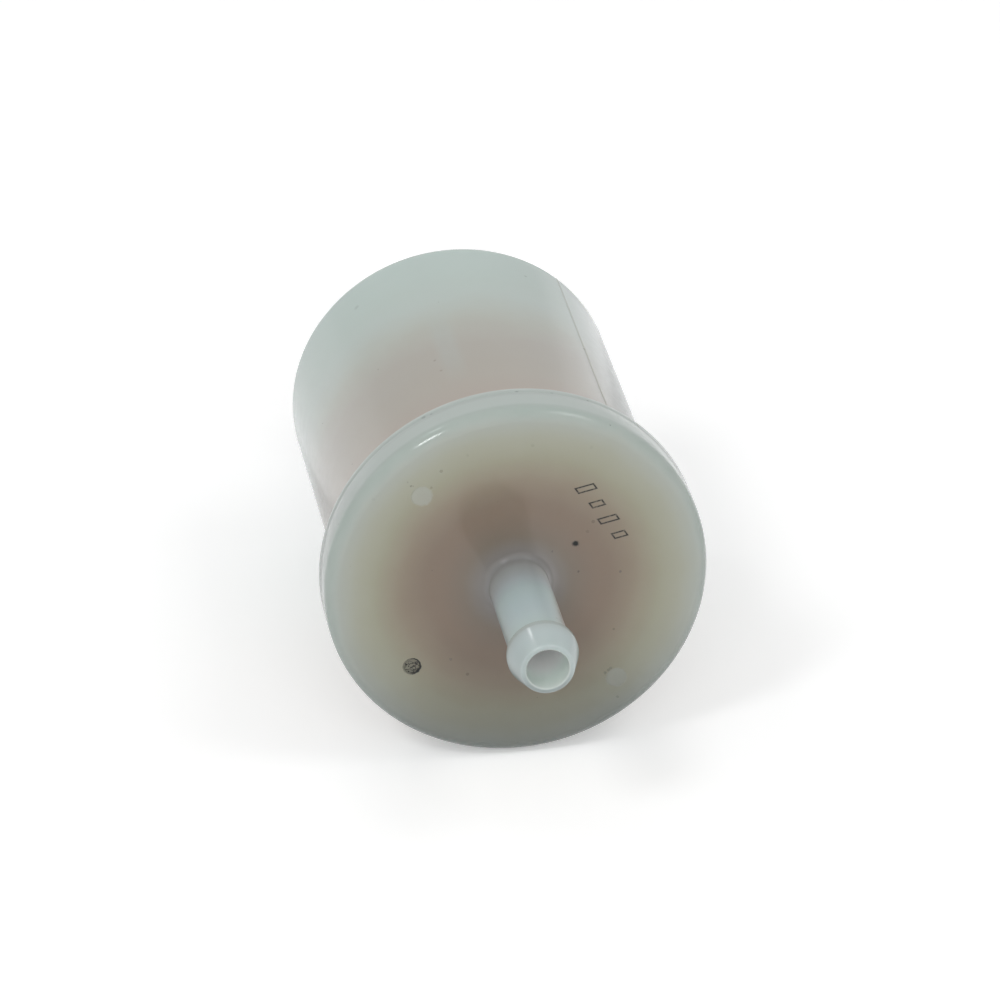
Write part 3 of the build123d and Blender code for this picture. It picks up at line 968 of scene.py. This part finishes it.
def seal_rubber(name):
    """Black rubber with a dull bloom and a finely pitted skin."""
    paint = Painter(name)
    place = paint.position()
    bloom = paint.noise(place, 0.8, 4.0, 0.6)
    pits = paint.noise(place, 7.0, 3.0, 0.7)
    colour = paint.mix(paint.fade(bloom, 0.45, 0.75), srgb(38, 38, 38), srgb(62, 62, 60))
    paint.put(paint.shader.inputs["Base Color"], colour)
    paint.put(paint.shader.inputs["Roughness"], paint.fade(bloom, 0.3, 0.7, 0.42, 0.62))
    paint.bump(pits, 0.25, 0.00005)
    return paint.material


# Camera at the photograph's viewing angle
CAMERA_AZIMUTH = -9.397
CAMERA_ELEVATION = 27.87
CAMERA_DISTANCE = 919.67
FOCAL_LENGTH = 252.0
SENSOR_WIDTH = 36.0
AIM_RIGHT = -2.373
AIM_UP = 11.054


def make_camera():
    turn, tilt = radians(CAMERA_AZIMUTH), radians(CAMERA_ELEVATION)
    forward = Vector((-sin(turn) * cos(tilt), cos(turn) * cos(tilt), -sin(tilt)))
    right = Vector((cos(turn), sin(turn), 0))
    up = right.cross(forward)
    aim = Vector((0, FACE, 0)) + right * AIM_RIGHT + up * AIM_UP
    data = bpy.data.cameras.new("camera")
    data.lens = FOCAL_LENGTH
    data.sensor_width = SENSOR_WIDTH
    data.clip_start = 0.01
    camera = bpy.data.objects.new("camera", data)
    camera.location = (aim - forward * CAMERA_DISTANCE) * MM
    camera.rotation_euler = forward.to_track_quat("-Z", "Y").to_euler()
    bpy.context.scene.collection.objects.link(camera)
    bpy.context.scene.camera = camera


def make_lamp(name, direction, distance, size, watts):
    """Round white lamp that faces the object, with its distance and size in metres."""
    data = bpy.data.lights.new(name, "AREA")
    data.shape = "DISK"
    data.size = size
    data.energy = watts
    lamp = bpy.data.objects.new(name, data)
    towards = Vector(direction).normalized()
    lamp.location = towards * distance
    lamp.rotation_euler = towards.to_track_quat("Z", "Y").to_euler()
    bpy.context.scene.collection.objects.link(lamp)
    return lamp


# Brightness of the world: as light, and as mirrored at the horizon and higher up
WORLD_LIGHT = 0.5
MIRRORED_HORIZON = 0.85
MIRRORED_FROM_HEIGHT = 0.7


def make_world():
    """White world, which mirror rays see a little darker towards the horizon."""
    world = bpy.data.worlds.new("studio")
    bpy.context.scene.world = world
    world.use_nodes = True
    nodes = Nodes(world.node_tree)
    direction = nodes.node("ShaderNodeTexCoord").outputs["Generated"]
    height = nodes.node("ShaderNodeSeparateXYZ", {0: direction}).outputs[2]
    mirrored = nodes.fade(height, 0.0, MIRRORED_FROM_HEIGHT, MIRRORED_HORIZON, 1.0)
    camera_ray = nodes.node("ShaderNodeLightPath").outputs["Is Camera Ray"]
    bright = nodes.math("MAXIMUM", camera_ray, mirrored)
    background = world.node_tree.nodes["Background"].inputs
    nodes.put(background["Strength"], nodes.mix_value(nodes.seen_directly(), WORLD_LIGHT, bright))
    nodes.put(background["Color"], (1, 1, 1, 1))


# The floor's colour as the object's light meets it, and as it is seen with its added white
FLOOR_GREY = 0.75
FLOOR_SEEN_GREY = 0.96
FLOOR_SEEN_WHITE = 0.3
FLOOR_GAP = 0.02
FLOOR_HALF = 3000.0


def make_floor():
    """Plane that the object lies on, which touches the flange and the body's far end."""
    slope = atan((FLANGE_RADIUS - BODY_RADIUS) / SEAT_LENGTH)
    touch = Vector((0, SHOULDER, -FLANGE_RADIUS - FLOOR_GAP))
    half = FLOOR_HALF
    along = Vector((0, cos(slope), sin(slope)))
    mesh = bmesh.new()
    corners = []
    for x, y in ((-half, -half), (half, -half), (half, half), (-half, half)):
        corners.append(mesh.verts.new((touch + Vector((x, 0, 0)) + along * y) * MM))
    mesh.faces.new(corners)
    data = bpy.data.meshes.new("floor")
    mesh.to_mesh(data)
    mesh.free()
    paint = Painter("floor")
    paint.put(paint.shader.inputs["Roughness"], 0.9)
    seen = paint.seen_directly()
    greys = [(grey, grey, grey, 1) for grey in (FLOOR_GREY, FLOOR_SEEN_GREY)]
    paint.put(paint.shader.inputs["Base Color"], paint.mix(seen, *greys))
    paint.put(paint.shader.inputs["Emission Color"], (1, 1, 1, 1))
    added_white = paint.math("MULTIPLY", seen, FLOOR_SEEN_WHITE)
    paint.put(paint.shader.inputs["Emission Strength"], added_white)
    paint.shader.inputs["Specular IOR Level"].default_value = 0.0
    data.materials.append(paint.material)
    floor = bpy.data.objects.new("floor", data)
    bpy.context.scene.collection.objects.link(floor)


build_cup(cup_nylon())
build_cover(cover_nylon())
INNER_MATERIALS = {
    paper("filter_paper"): ("filter_paper",),
    moulded_white("cap_plastic"): ("upper_end_cap", "lower_end_cap", "support_core"),
    set_adhesive("adhesive"): ("upper_adhesive", "lower_adhesive", "pleat_seam"),
    seal_rubber("seal_rubber"): ("neck_seal",),
}
for material, names in INNER_MATERIALS.items():
    for name in names:
        NODES[name].data.materials.clear()
        NODES[name].data.materials.append(material)

make_camera()
make_floor()
make_world()
make_lamp("left_front_lamp", direction=(-0.51, -0.43, 0.745), distance=1.5, size=0.34, watts=3.1)
make_lamp("left_rear_lamp", direction=(-0.453, 0.388, 0.803), distance=1.5, size=0.2, watts=0.6)
make_lamp("right_lamp", direction=(0.52, -0.23, 0.82), distance=1.5, size=0.55, watts=2.0)

# The broad front lamp would wash out the flange's rounding if it were mirrored there
front_lamp = make_lamp("front_lamp", direction=(-0.1, -0.9, 0.42), distance=2.2, size=2.0, watts=11.3)
front_lamp.visible_glossy = False

bpy.context.scene.view_settings.view_transform = "Standard"
bpy.context.view_layer.update()
